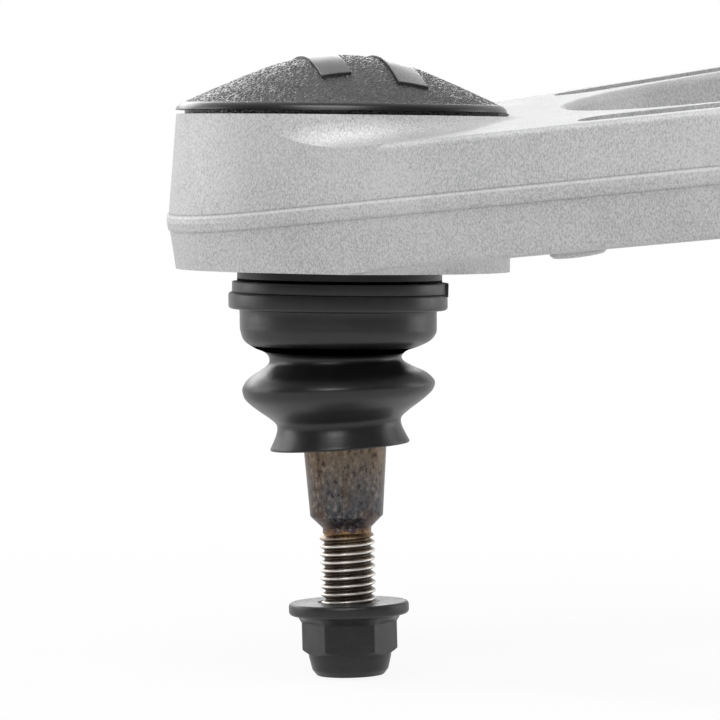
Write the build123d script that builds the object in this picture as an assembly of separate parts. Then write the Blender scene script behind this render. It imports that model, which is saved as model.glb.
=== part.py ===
from build123d import *
from math import acos, atan2, cos, degrees, hypot, pi, radians, sin, sqrt, tan
import os

# Upper control arm of a light truck: a forged A-shaped arm with a ball joint in its eye and a
# rubber bushing at the end of each leg. Millimetres and degrees. The origin is the centre of the
# ball, +Z runs up the axis of the eye, +X runs from the eye towards the pivots, and the two legs
# spread towards -Y (the front leg) and +Y (the rear leg).

# Driving sizes of the forging.
eye_radius = 37.35         # at the widest place, where the two dies met
eye_top = 28.1
eye_bottom = -5.4
boss_radius = 37.0         # of the eye's underside, between the legs, which isn't drafted
eye_widest = 5.0
eye_draft_up = 3.8
eye_draft_down = 9.5
leg_rise = 8.2             # the legs climb away from the eye
pivot_tilt = 3.55          # the pivot axis is inclined, so the rear leg is the higher one
parting_height = 10.3      # of the dies' meeting plane, on the eye's axis
pivot_reach = 217.0        # eye axis to pivot axis, in the plane of the legs
pivot_half_span = 122.0
leg_width = 26.0
leg_height_up = 13.0
leg_height_down = 13.0
leg_aim = 7.0              # the legs run this far outside the middles of the barrels
leg_edge_round = 1.6
crotch_radius = 56.0       # of the round corner between the legs
rail_width = 5.5
web_thickness = 8.0
pocket_draft = 6.0
pocket_floor_round = 2.5
pocket_starts = 66.0       # along the leg, from where its outer line touches the eye
pocket_ends = 52.0         # before the pivot axis
blend_radius = 6.0         # eye to leg, above
under_blend_radius = 4.0
run_in_gap = 0.02          # how far the run-in's wall lies outside the eye's
run_in_reach = 1.2         # of the run-in past the eye, in its own radii
spot_face_play = 0.4       # machined round the dust cap
band_height = 3.4          # trimmed flash band round the forging
band_proud = 0.35
pad_radius = 6.0           # round datum pads under the legs
pad_height = 1.6
pad_edge = 0.6
pad_along = 66.0
barrel_radius = 30.5
barrel_length = 40.0
barrel_edge = 1.2

# Driving sizes of the ball joint.
ball_radius = 15.0
ball_flat = 13.2           # height of the flat on top of the ball
race_clearance = 0.03
running_clearance = 0.05
stud_lean = 2.0            # how far the loose stud leans towards the legs at rest
neck_radius = 7.5
neck_end = -24.0
shoulder_start = -30.0
taper_start = -41.5
taper_end = -58.9
taper_large_radius = 9.2
taper_small_radius = 7.93
thread_relief_radius = 5.3
relief_start = -61.5
thread_start = -62.6
thread_radius = 6.0        # M12 x 1.75
stud_end = -90.6
stud_end_chamfer = 1.0

floor_thickness = 5.0      # of the eye, under the housing's shoulder
housing_radius = 26.0
housing_top = 19.5
housing_bore_radius = 18.5
housing_ledge = -8.2
nose_radius = 22.3
nose_end = -13.2
nose_lip_height = 1.2
nose_lip_radius = 21.6
boot_groove_radius = 20.8
boot_groove_top = -8.1
mouth_radius = 12.9
mouth_end_radius = 15.7
cap_thread_radius = 20.0
cap_seat = 14.0
cap_thickness = 5.0
cap_hex = 14.0
cap_hex_depth = 2.6
cap_dish_clearance = 0.35  # of the dish in the plug over the ball
cap_edge = 0.8
race_top = 12.0
race_split = 0.3
spring_inner_radius = 10.0
spring_outer_radius = 17.8
spring_thickness = 0.9
snap_ring_thickness = 1.7
snap_ring_outer = 27.6
snap_ring_inner = 23.6
snap_ring_gap = 13.0
snap_ring_ear = 4.2
snap_ring_hole = 1.1
groove_play = 0.2

# Driving sizes of the dust cap.
cover_overhang = 0.2       # of the rim past the eye's upper edge
cover_rim = 0.9
cover_gap = 0.9            # shadow gap between the rim and the eye
cover_seat_radius = 34.0
cover_height = 13.2        # of the crown above the eye
crown_radius = 48.0        # curve of the crown, inside crown_reach
crown_reach = 18.0
skirt_radius = 29.8
skirt_wall = 2.9
skirt_depth = 4.9
cover_wall = 2.2
cover_spring = 2.6         # height over the eye where the inside of the crown begins to curve
bar_width = 6.5            # two plain raised bars across the crown
bar_proud = 0.55
bar_half_length = 22.0
bar_slant = 13.5
bar_middles = (-6.2, 10.2)
seal_radius = 0.95
seal_groove_depth = 1.8
seal_groove_width = 2.3
seal_play = 0.04

# Driving sizes of the dust boot and its rings.
boot_rim_radius = 23.75
boot_rim_top = -10.4
boot_rim_bottom = -13.9
clamp_radius = 23.35
clamp_wall = 0.9
clamp_top = -7.95
clamp_tail_angle = 26.0
lip_ring_radius = 11.3
lip_ring_wire = 0.8
lip_ring_height = -41.6
lip_clearance = 0.25

# Driving sizes of the nut.
nut_top = -77.7
flange_radius = 13.1
flange_thickness = 2.5
nut_across_flats = 18.2
hex_bottom = -89.0
collar_radius = 9.1
collar_end_radius = 8.3
nut_bottom = -93.7
insert_height = 2.6
insert_radius = 7.4

# Driving sizes of the pivot bushings.
shell_radius = 24.0
shell_wall = 1.6
shell_overhang = 2.0
shell_flange_radius = 27.5
sleeve_radius = 12.0
sleeve_bore_radius = 7.25
sleeve_overhang = 9.0      # past each end of the barrel
rubber_overhang = 3.5
rubber_dish = 3.0
sleeve_chamfer = 0.8

# The plane of the legs: it climbs along +X and, gently, along +Y.
leg_place = Pos(0, 0, parting_height) * Rot(pivot_tilt, 0, 0) * Rot(0, -leg_rise, 0)
lean = Rot(0, -stud_lean, 0)


def revolved(outline):
    """A closed outline of (radius, height) corners, turned about the Z axis."""
    return revolve(Plane.XZ * make_face(Polyline(*outline, close=True)), Axis.Z)


def ring(inner, outer, bottom, top):
    """A plain round ring about the Z axis."""
    return revolved([(inner, bottom), (outer, bottom), (outer, top), (inner, top)])


def disc(radius, bottom, top):
    """A plain round disc about the Z axis."""
    return Pos(0, 0, bottom) * Cylinder(radius, top - bottom, align=(Align.CENTER, Align.CENTER, Align.MIN))


# The forging. The dies close along the eye's axis, so every wall is drafted from that axis. The walls
# are set out on the parting plane, which climbs with the legs. side is 1 above that plane and -1 below
# it, and leg is 1 for the rear leg and -1 for the front one.


def parting_point(x, y):
    """Where a point of the legs' plan lies, on the parting plane."""
    return (leg_place * Pos(x, y, 0)).position


def layer(low, high):
    """Everything between two heights over the parting plane."""
    size = 4 * (pivot_reach + pivot_half_span)
    return leg_place * Pos(0, 0, (low + high) / 2) * Box(size, size, abs(high - low))


def die_shift(height):
    """How far a step along the dies' direction moves sideways in the plan, at a height over it."""
    axis = leg_place.inverse() * Pos(0, 0, 1)
    base = leg_place.inverse() * Pos(0, 0, 0)
    step = axis.position - base.position
    return Vector(step.X, step.Y) * (height / step.Z)


def slope(side):
    """How fast a drafted wall leans in."""
    return tan(radians(eye_draft_up if side > 0 else eye_draft_down))


def eye_wall(side, height):
    """Radius of the eye's upper or lower wall, carried on to any height."""
    return eye_radius - side * (height - eye_widest) * slope(side)


def touching_point(point, radius, leg):
    """Where a line from a point touches a circle round the eye's axis, on the leg's outer side."""
    turn = atan2(point.Y, point.X) + leg * acos(radius / hypot(point.X, point.Y))
    return Vector(radius * cos(turn), radius * sin(turn))


def outer_line(leg):
    """A leg's outer line in the plan: its start at the eye, its end at the barrel, and the way inwards."""
    end = Vector(pivot_reach, leg * (pivot_half_span + leg_aim + leg_width / 2))
    start = touching_point(end, eye_radius, leg)
    along = (end - start).normalized()
    return start, end, Vector(along.Y, -along.X) * leg


def middle_point(leg, along):
    """A point on a leg's middle line: a distance from its start, or from its end if negative."""
    start, end, inwards = outer_line(leg)
    direction = (end - start).normalized()
    return (start if along > 0 else end) + direction * along + inwards * (leg_width / 2)


def wall_trace(start, end, side, outwards, section):
    """The line in which a drafted wall through two points of the parting plane meets a level section."""
    points = [parting_point(p.X, p.Y) for p in (start, end)]
    return [Vector(p.X, p.Y) + outwards * (side * (p.Z - section) * slope(side)) for p in points]


def corner_arc(rear, front, radius):
    """The round corner between the legs' inner lines: where it starts, its middle and its end."""
    ways = [(line[1] - line[0]).normalized() for line in (rear, front)]
    normals = [Vector(ways[0].Y, -ways[0].X), Vector(-ways[1].Y, ways[1].X)]
    gap = (front[0] + normals[1] * radius) - (rear[0] + normals[0] * radius)
    reach = (gap.X * ways[1].Y - gap.Y * ways[1].X) / (ways[0].X * ways[1].Y - ways[0].Y * ways[1].X)
    centre = rear[0] + ways[0] * reach + normals[0] * radius
    return centre - normals[0] * radius, centre - Vector(radius, 0), centre - normals[1] * radius


def section_outline(side, section, grown):
    """Eye, legs and the web between them cut at a level, with every wall moved out a little."""
    outer, inner = [], []
    for leg in (1, -1):
        start, end, inwards = outer_line(leg)
        trace = wall_trace(start, end, side, inwards * -1, section)
        far = trace[1] - inwards * grown
        outer.append([touching_point(far, eye_wall(side, section) + grown, leg), far])
        across = inwards * leg_width
        trace = wall_trace(start + across, end + across, side, inwards, section)
        inner.append([point + inwards * grown for point in trace])
    web_height = parting_point(crotch_radius, 0).Z
    radius = crotch_radius - side * (web_height - section) * slope(side) - grown
    rear, middle, front = corner_arc(inner[0], inner[1], radius)
    eye = ThreePointArc(outer[0][0], (-eye_wall(side, section) - grown, 0), outer[1][0])
    front_leg = Polyline(outer[1][0], outer[1][1], inner[1][1], front)
    rear_leg = Polyline(rear, inner[0][1], outer[0][1], outer[0][0])
    return make_face([eye, *front_leg.edges(), ThreePointArc(front, middle, rear), *rear_leg.edges()])


def walls(side, grown=0.0):
    """All the drafted outer walls on one side of the parting, much taller than the forging."""
    reach = pivot_reach + barrel_radius
    span = pivot_half_span + barrel_length
    low = parting_point(-eye_radius, -span).Z
    high = parting_point(reach, span).Z
    if side > 0:
        plan = section_outline(side, low, grown)
        return Pos(0, 0, low) * drafted(plan, high + 2 * leg_height_up - low, eye_draft_up, side)
    plan = section_outline(side, high, grown)
    return Pos(0, 0, high) * drafted(plan, high - eye_bottom + 2 * leg_height_down, eye_draft_down, side)


def drafted(plan, height, draft, side):
    """A flat plan raised to a height with sloping walls, upwards or downwards."""
    body = extrude(plan.face(), height, taper=draft)
    return body if body.center().Z * side > 0 else mirror(body, Plane.XY)


def flat_at(shape, height):
    """Whether all of a face or an edge lies at one height over the parting plane."""
    box = (leg_place.inverse() * shape).bounding_box()
    return max(abs(box.min.Z - height), abs(box.max.Z - height)) < 0.01


def rounded_legs(side, height):
    """The legs and the web up to their flat faces, whose long edges are rounded."""
    body = walls(side) & layer(0, side * height)
    face = [f for f in body.faces() if flat_at(f, side * height)][0]
    body = fillet([e for e in face.edges() if e.length > 1.5 * leg_width], leg_edge_round)
    return body & disc(2 * (pivot_reach + pivot_half_span), eye_bottom, 4 * pivot_reach)


def run_in(side, height, radius):
    """The eye's wall and the legs' flat face, both carried on, with the round corner between them."""
    low, high = eye_bottom - 4 * radius, eye_top + 4 * radius
    wall = [(boss_radius, low), (boss_radius, high)]
    if side > 0:
        wall = [(eye_wall(side, z) + run_in_gap, z) for z in (low, high)]
    body = revolved([(0, low), *wall, (0, high)]) + layer(-2 * side * height, side * height)
    crease = [e for e in body.edges() if flat_at(e, side * height) and e.length < 3 * pi * eye_radius]
    return fillet(crease, radius)


def forging_half(side):
    """The eye, the legs and the web on one side of the parting plane."""
    height, radius = (leg_height_up, blend_radius) if side > 0 else (leg_height_down, under_blend_radius)
    eye = run_in(side, height, radius) & walls(side) & layer(0, 4 * side * eye_radius)
    return (eye & disc(eye_radius + run_in_reach * radius, eye_bottom, eye_top)) + rounded_legs(side, height)


def band():
    """The low band left where the flash was trimmed, all round the parting plane."""
    half = band_height / 2
    body = (walls(1, band_proud) & layer(0, half)) + (walls(-1, band_proud) & layer(0, -half))
    width = 2 * (barrel_radius + band_proud)
    for leg in (1, -1):
        at_barrel = Pos(pivot_reach, leg * pivot_half_span, 0)
        body += leg_place * at_barrel * Box(width, barrel_length - 2 * band_height, band_height)
    return body


def barrel(leg):
    """A leg's barrel, along the pivot axis."""
    body = Cylinder(barrel_radius, barrel_length)
    body = chamfer(body.edges().filter_by(GeomType.CIRCLE), barrel_edge)
    return leg_place * Pos(pivot_reach, leg * pivot_half_span, 0) * Rot(90, 0, 0) * body


def datum_pad(leg):
    """A round pad under a leg, square to the parting plane."""
    at = middle_point(leg, pad_along) + die_shift(-leg_height_down)
    pad = Pos(at.X, at.Y, -leg_height_down - pad_height) * disc(pad_radius, 0, pad_height + 1)
    return leg_place * chamfer(pad.faces().sort_by(Axis.Z)[0].edges(), pad_edge)


def pocket(side, leg):
    """The pocket between a leg's rails, above or underneath."""
    height = leg_height_up if side > 0 else leg_height_down
    first, last = (middle_point(leg, along) + die_shift(side * height) for along in (pocket_starts, -pocket_ends))
    width = leg_width - 2 * rail_width - 2 * height * slope(side)
    length = (last - first).length
    slot = SlotOverall(length, width, rotation=degrees(atan2((last - first).Y, (last - first).X)))
    middle = (first + last) / 2
    depth = height - web_thickness / 2
    cutter = Pos(middle.X, middle.Y, side * height) * drafted(slot, depth, pocket_draft, -side)
    floor = cutter.faces().sort_by(Axis.Z)[0 if side > 0 else -1]
    floor_width = width - 2 * depth * tan(radians(pocket_draft))
    return leg_place * fillet(floor.edges(), min(pocket_floor_round, floor_width / 3))


def eye_bores():
    """Everything machined into the eye: the seat, the bore, the ring groove and the cap's counterbore."""
    ledge = eye_bottom + floor_thickness
    seat = disc(nose_radius, eye_bottom - 1, ledge + 1)
    main = disc(housing_radius, ledge, eye_top + 1)
    groove = disc(snap_ring_outer + groove_play, housing_top, housing_top + snap_ring_thickness + groove_play)
    mouth = disc(skirt_radius + 0.1, eye_top - skirt_depth - 0.5, eye_top + 1)
    spot_face = disc(cover_radius() + spot_face_play, eye_top, eye_top + leg_height_up)
    return seat + main + groove + mouth + spot_face


def barrel_bore(leg):
    """The press-fit bore for a bushing."""
    bore = Cylinder(shell_radius, barrel_length + leg_width)
    return leg_place * Pos(pivot_reach, leg * pivot_half_span, 0) * Rot(90, 0, 0) * bore


def forged_arm():
    """The whole forging, machined."""
    body = forging_half(1) + forging_half(-1) + band()
    for leg in (1, -1):
        body = body + barrel(leg) + datum_pad(leg)
    for leg in (1, -1):
        body = body - pocket(1, leg) - pocket(-1, leg) - barrel_bore(leg)
    return body - eye_bores()


# The ball joint.


def ball_joint_housing():
    """The pressed-in steel shell: flanged body, nose with the boot's groove, and the stepped bore."""
    ledge = eye_bottom + floor_thickness
    groove_bottom = nose_end + nose_lip_height
    outline = [
        (mouth_radius, housing_ledge),
        (mouth_end_radius, nose_end),
        (nose_lip_radius, nose_end),
        (nose_lip_radius, groove_bottom),
        (boot_groove_radius, groove_bottom),
        (boot_groove_radius, boot_groove_top),
        (nose_radius, boot_groove_top),
        (nose_radius, ledge),
        (housing_radius, ledge),
        (housing_radius, housing_top),
        (cap_thread_radius, housing_top),
        (cap_thread_radius, cap_seat),
        (housing_bore_radius, cap_seat),
        (housing_bore_radius, housing_ledge),
    ]
    return revolved(outline)


def end_cap():
    """The screwed plug that loads the races, with a hexagon socket and a dish over the ball."""
    plug = disc(cap_thread_radius - running_clearance, cap_seat, cap_seat + cap_thickness)
    plug = chamfer(plug.faces().sort_by(Axis.Z)[-1].edges(), cap_edge)
    plug -= Sphere(ball_radius + cap_dish_clearance)
    socket = extrude(RegularPolygon(cap_hex / 2, 6, major_radius=False), cap_hex_depth)
    return plug - Pos(0, 0, cap_seat + cap_thickness - cap_hex_depth) * socket


def preload_washer():
    """The coned spring washer between the upper race and the plug."""
    low = race_top + running_clearance
    high = cap_seat
    outline = [
        (spring_inner_radius, high - spring_thickness),
        (spring_outer_radius, low),
        (spring_outer_radius, low + spring_thickness),
        (spring_inner_radius, high),
    ]
    return revolved(outline)


def race(bottom, top):
    """A bearing shell between two heights, cut out to the ball."""
    body = disc(housing_bore_radius - running_clearance, bottom, top)
    return body - Sphere(ball_radius + race_clearance)


def upper_race():
    """The bearing shell over the ball's middle."""
    return race(race_split / 2, race_top)


def lower_race():
    """The bearing shell under the ball's middle."""
    return race(housing_ledge + running_clearance, -race_split / 2)


def housing_snap_ring():
    """The open ring that holds the housing down, with an eyed ear at each end."""
    bottom, top = housing_top, housing_top + snap_ring_thickness
    body = ring(snap_ring_inner, snap_ring_outer, bottom, top)
    gap = Pos(snap_ring_outer, 0, bottom) * Box(2 * snap_ring_inner, snap_ring_gap, 4 * snap_ring_thickness)
    body -= gap
    ear_reach = snap_ring_inner + 0.4
    for side in (1, -1):
        turn = Rot(0, 0, side * degrees((snap_ring_gap / 2 + snap_ring_ear / 2) / ear_reach))
        ear = disc(snap_ring_ear, bottom, top) & disc(snap_ring_outer, bottom, top)
        body += turn * Pos(ear_reach - 1.2, 0, 0) * (ear - disc(snap_ring_hole, bottom, top))
        body -= turn * Pos(ear_reach - 1.2, 0, 0) * disc(snap_ring_hole, bottom, top)
    return body & disc(snap_ring_outer, bottom, top)


# The dust cap.


def cover_radius():
    """Radius of the cap's rim, which covers the eye's upper edge."""
    return eye_radius - (eye_top - eye_widest) * tan(radians(eye_draft_up)) + cover_overhang


def crown_height(radius):
    """Height of the crown's outside at a radius, on its inner curve."""
    return eye_top + cover_height - crown_radius + sqrt(crown_radius**2 - radius**2)


def crown_edges(raised):
    """The cap's outside from its middle to its rim, or the same line moved up a little."""
    top = (0, crown_height(0) + raised)
    half = (crown_reach / 2, crown_height(crown_reach / 2) + raised)
    knee = (crown_reach, crown_height(crown_reach) + raised)
    rim = (cover_radius(), eye_top + cover_gap + cover_rim + raised)
    slope = crown_reach / sqrt(crown_radius**2 - crown_reach**2)
    return [ThreePointArc(top, half, knee), TangentArc(knee, rim, tangent=(1, -slope))]


def turned(edges, corners):
    """A turned solid from a run of curves, closed by straight lines through the given corners."""
    start, end = edges[0] @ 0, edges[-1] @ 1
    lines = Polyline(end, *corners, start).edges()
    body = revolve(Plane.XZ * make_face([*edges, *lines]), Axis.Z)
    return Rot(0, 0, 90 + bar_slant) * body


def crown_bars():
    """The two plain raised bars across the crown."""
    base = eye_top + cover_gap
    shell = turned(crown_edges(bar_proud), [(cover_radius(), base), (0, base)])
    shell -= turned(crown_edges(-0.4), [(cover_radius(), base), (0, base)])
    size = (bar_width, 2 * bar_half_length, 4 * cover_height)
    bars = [Pos(middle, 0, eye_top) * Rot(0, 0, bar_slant) * Box(*size) for middle in bar_middles]
    return [bar & shell for bar in bars]


def dust_cap():
    """The plastic dome with its rim, its skirt down into the eye and the groove for its seal."""
    inner = skirt_radius - skirt_wall
    bottom = eye_top - skirt_depth
    base = eye_top + cover_gap
    groove = skirt_radius - seal_groove_depth
    spring = eye_top + cover_spring
    ceiling = crown_height(0) - cover_wall
    rise = ceiling - spring
    curve = (inner**2 + rise**2) / (2 * rise)
    half = ceiling - curve + sqrt(curve**2 - inner**2 / 4)
    corners = [
        (cover_radius(), base),
        (cover_seat_radius, base),
        (cover_seat_radius, eye_top),
        (skirt_radius, eye_top),
        (skirt_radius, seal_height() + seal_groove_width / 2),
        (groove, seal_height() + seal_groove_width / 2),
        (groove, seal_height() - seal_groove_width / 2),
        (skirt_radius, seal_height() - seal_groove_width / 2),
        (skirt_radius, bottom),
        (inner, bottom),
        (inner, spring),
    ]
    outside = crown_edges(0)
    sides = Polyline(outside[-1] @ 1, *corners).edges()
    inside = ThreePointArc((inner, spring), (inner / 2, half), (0, ceiling))
    middle = Line((0, ceiling), (0, crown_height(0)))
    body = revolve(Plane.XZ * make_face([*outside, *sides, inside, middle]), Axis.Z)
    body = Rot(0, 0, 90 + bar_slant) * body
    for bar in crown_bars():
        body += bar
    return body


def seal_height():
    """Height of the middle of the cap's seal."""
    return eye_top - skirt_depth / 2


def dust_cap_o_ring():
    """The round seal in the groove of the cap's skirt."""
    reach = skirt_radius - seal_groove_depth + seal_radius
    return Pos(0, 0, seal_height()) * Torus(reach, seal_radius - seal_play)


# The boot and its rings.

# Outside of the boot below its rim: radius and height, one pair per fold line, in the boot's own
# frame, which leans a little further than the stud.
boot_outside = [
    (21.7, -13.6),
    (21.7, -16.6),
    (21.1, -19.8),
    (18.8, -22.1),
    (15.6, -23.6),
    (14.3, -24.7),
    (15.7, -26.0),
    (19.2, -28.0),
    (20.95, -30.6),
    (19.4, -33.3),
    (15.9, -36.0),
    (13.6, -38.6),
    (14.0, -41.0),
    (15.2, -43.8),
]
boot_inside = [
    (20.1, -13.6),
    (20.1, -16.6),
    (19.5, -19.4),
    (17.4, -21.0),
    (14.0, -22.7),
    (12.7, -24.7),
    (14.0, -26.8),
    (17.6, -28.9),
    (19.3, -30.6),
    (17.8, -32.7),
    (14.4, -35.2),
    (11.6, -37.6),
]
boot_place = Pos(-0.5, 0, -18) * Rot(0, -2.6, 0) * Pos(0, 0, 18)


def boot_bulk(profile):
    """A smooth turned solid down one side of the boot's wall."""
    wall = Spline(*profile, tangents=[(0, -1), (profile[-1][0] - profile[-2][0], profile[-1][1] - profile[-2][1])])
    ends = Polyline(profile[-1], (0, profile[-1][1]), (0, profile[0][1]), profile[0])
    return boot_place * revolve(Plane.XZ * make_face([wall, *ends.edges()]), Axis.Z)


def dust_boot():
    """The rubber bellows from the housing's nose to the stud, with a thick lip at the bottom."""
    clamped = clamp_radius - clamp_wall - 0.05
    rim = disc(clamped, boot_rim_bottom, boot_groove_top - 0.1)
    rim += disc(boot_rim_radius, boot_rim_bottom, boot_rim_top)
    rim_edge = rim.edges().filter_by(GeomType.CIRCLE).filter_by(lambda e: e.radius > boot_rim_radius - 0.01)
    rim = fillet(rim_edge, 0.6)
    nose = disc(boot_groove_radius + 0.02, boot_rim_bottom - 0.3, 0)
    nose += disc(nose_lip_radius + 0.02, nose_end - 0.05, nose_end + nose_lip_height + 0.02)
    bore = lean * disc(taper_large_radius + lip_clearance, 1.4 * boot_outside[-1][1], boot_inside[-1][1] + 3)
    ring_seat = lean * Pos(0, 0, lip_ring_height) * Torus(lip_ring_radius, lip_ring_wire + 0.02)
    return boot_bulk(boot_outside) + rim - boot_bulk(boot_inside) - nose - bore - ring_seat


def boot_lip_ring():
    """The wire ring moulded into the boot's lip."""
    return lean * Pos(0, 0, lip_ring_height) * Torus(lip_ring_radius, lip_ring_wire)


def boot_retaining_ring():
    """The flat band round the boot's upper edge, with one end turned outwards."""
    body = ring(clamp_radius - clamp_wall, clamp_radius, boot_rim_top, clamp_top)
    height = clamp_top - boot_rim_top
    gap = Rot(0, 0, clamp_tail_angle + 9) * Pos(clamp_radius, 0, boot_rim_top) * Box(6, 3.2, 4 * height)
    tail = Pos(clamp_radius + 0.2, 0, (clamp_top + boot_rim_top) / 2) * Box(1.6, 3.0, height - 0.3)
    return body - gap + Rot(0, 0, clamp_tail_angle - 22) * tail


# The stud and its nut.


def ball_stud():
    """Ball, neck, taper and threaded end in one piece, leaning as it hangs."""
    neck_top = -sqrt(ball_radius**2 - neck_radius**2)
    shaft = revolved(
        [
            (0, neck_top + 3),
            (neck_radius, neck_top + 3),
            (neck_radius, neck_end),
            (taper_large_radius, shoulder_start),
            (taper_large_radius, taper_start),
            (taper_small_radius, taper_end),
            (thread_relief_radius, relief_start),
            (thread_relief_radius, thread_start),
            (thread_radius, thread_start - 0.7),
            (thread_radius, stud_end + stud_end_chamfer),
            (thread_radius - stud_end_chamfer, stud_end),
            (0, stud_end),
        ]
    )
    ball = Sphere(ball_radius) & disc(2 * ball_radius, -2 * ball_radius, ball_flat)
    return lean * (ball + shaft)


def stud_nut():
    """A flanged hexagon nut with a locking collar, flange upwards."""
    corner = nut_across_flats / sqrt(3)
    flange = revolved(
        [
            (0, nut_top),
            (flange_radius - 0.5, nut_top),
            (flange_radius, nut_top - 0.5),
            (flange_radius, nut_top - flange_thickness + 0.5),
            (flange_radius - 0.6, nut_top - flange_thickness),
            (nut_across_flats / 2 - 0.4, nut_top - flange_thickness - 1.3),
            (0, nut_top - flange_thickness - 1.3),
        ]
    )
    hexagon = Pos(0, 0, hex_bottom) * extrude(
        RegularPolygon(nut_across_flats / 2, 6, major_radius=False, rotation=30), nut_top - hex_bottom - 1
    )
    hexagon &= revolved(
        [
            (0, hex_bottom),
            (nut_across_flats / 2 - 0.1, hex_bottom),
            (corner + 0.1, hex_bottom + 0.9),
            (corner + 0.1, nut_top),
            (0, nut_top),
        ]
    )
    collar = revolved(
        [
            (0, hex_bottom + 1),
            (collar_radius, hex_bottom + 1),
            (collar_radius - 0.1, hex_bottom - 0.6),
            (collar_end_radius, nut_bottom + 1.2),
            (collar_end_radius - 0.9, nut_bottom),
            (0, nut_bottom),
        ]
    )
    bore = disc(thread_radius + running_clearance, nut_bottom - 1, nut_top + 1)
    entry = revolved([(0, nut_top + 0.1), (6.8, nut_top + 0.1), (thread_radius, nut_top - 0.8), (0, nut_top - 0.8)])
    pocket_top = nut_bottom + 0.5 + insert_height
    seat = disc(insert_radius, nut_bottom + 0.5, pocket_top)
    return lean * (flange + hexagon + collar - bore - entry - seat)


def nut_locking_insert():
    """The nylon ring in the nut's collar."""
    bottom = nut_bottom + 0.5
    return lean * ring(thread_radius + 0.03, insert_radius, bottom, bottom + insert_height)


# The pivot bushings.


def pivot_place(side):
    """A frame at the middle of a barrel whose Z runs outwards along the pivot axis."""
    return leg_place * Pos(pivot_reach, side * pivot_half_span, 0) * Rot(-90 * side, 0, 0)


def outer_sleeve():
    """The steel shell pressed into the barrel, flanged at its outer end."""
    half = barrel_length / 2
    inner = shell_radius - shell_wall
    return revolved(
        [
            (inner, -half - shell_overhang),
            (shell_radius, -half - shell_overhang),
            (shell_radius, half),
            (shell_flange_radius, half),
            (shell_flange_radius, half + shell_wall),
            (inner, half + shell_wall),
        ]
    )


def bushing_rubber():
    """The rubber between the shell and the sleeve, dished at both ends."""
    half = barrel_length / 2 + rubber_overhang
    inner = sleeve_radius + running_clearance
    outer = shell_radius - shell_wall
    middle = (inner + outer) / 2
    top = ThreePointArc((inner, half), (middle, half - rubber_dish), (outer, half - 1))
    bottom = ThreePointArc((outer, 1 - half), (middle, rubber_dish - half), (inner, -half))
    outside = Line(top @ 1, bottom @ 0)
    inside = Line(bottom @ 1, top @ 0)
    return revolve(Plane.XZ * make_face([top, outside, bottom, inside]), Axis.Z)


def inner_sleeve():
    """The thick sleeve that is clamped to the frame by the pivot bolt."""
    half = barrel_length / 2 + sleeve_overhang
    body = ring(sleeve_bore_radius, sleeve_radius, -half, half)
    rims = body.edges().filter_by(GeomType.CIRCLE).filter_by(lambda e: e.radius > sleeve_radius - 0.01)
    return chamfer(rims, sleeve_chamfer)


def save(name, shape):
    """One piece to its own file."""
    print(name, shape.is_valid, len(shape.solids()), round(shape.volume / 1000, 3))
    export_step(shape, f"parts/{name}.step")


def main():
    os.makedirs("parts", exist_ok=True)
    save("forged_arm", forged_arm())
    for piece in (
        ball_joint_housing,
        end_cap,
        preload_washer,
        upper_race,
        lower_race,
        housing_snap_ring,
        dust_cap,
        dust_cap_o_ring,
        dust_boot,
        boot_lip_ring,
        boot_retaining_ring,
        ball_stud,
        stud_nut,
        nut_locking_insert,
    ):
        save(piece.__name__, piece())
    for side, end in ((-1, "front"), (1, "rear")):
        for piece in (outer_sleeve, bushing_rubber, inner_sleeve):
            save(f"{end}_{piece.__name__}", pivot_place(side) * piece())


main()
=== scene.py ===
import bpy
import bmesh
import numpy as np
from mathutils import Matrix


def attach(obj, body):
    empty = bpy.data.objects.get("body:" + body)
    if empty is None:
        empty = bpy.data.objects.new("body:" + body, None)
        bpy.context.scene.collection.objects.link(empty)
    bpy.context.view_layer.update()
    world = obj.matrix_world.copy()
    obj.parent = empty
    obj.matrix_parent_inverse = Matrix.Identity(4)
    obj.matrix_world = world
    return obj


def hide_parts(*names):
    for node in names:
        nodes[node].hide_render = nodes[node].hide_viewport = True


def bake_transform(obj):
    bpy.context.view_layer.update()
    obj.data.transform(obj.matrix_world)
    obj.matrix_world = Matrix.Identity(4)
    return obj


# Upper control arm seen from the side of its ball joint. The sizes in the dictionaries are millimetres and
# degrees; the origin is the centre of the ball, Z runs up the eye's axis and X towards the pivots.

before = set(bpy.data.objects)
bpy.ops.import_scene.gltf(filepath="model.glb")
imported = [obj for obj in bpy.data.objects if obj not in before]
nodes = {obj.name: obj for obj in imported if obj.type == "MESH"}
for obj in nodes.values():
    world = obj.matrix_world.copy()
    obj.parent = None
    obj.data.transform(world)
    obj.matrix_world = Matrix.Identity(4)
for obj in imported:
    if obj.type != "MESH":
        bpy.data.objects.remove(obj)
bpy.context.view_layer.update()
mm = 0.001
studLean = 2.0  # the loose stud leans this far towards the legs
print("Stage 1: the frame is loaded,", len(nodes), "solid pieces")


# Shared tools for meshes

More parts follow.
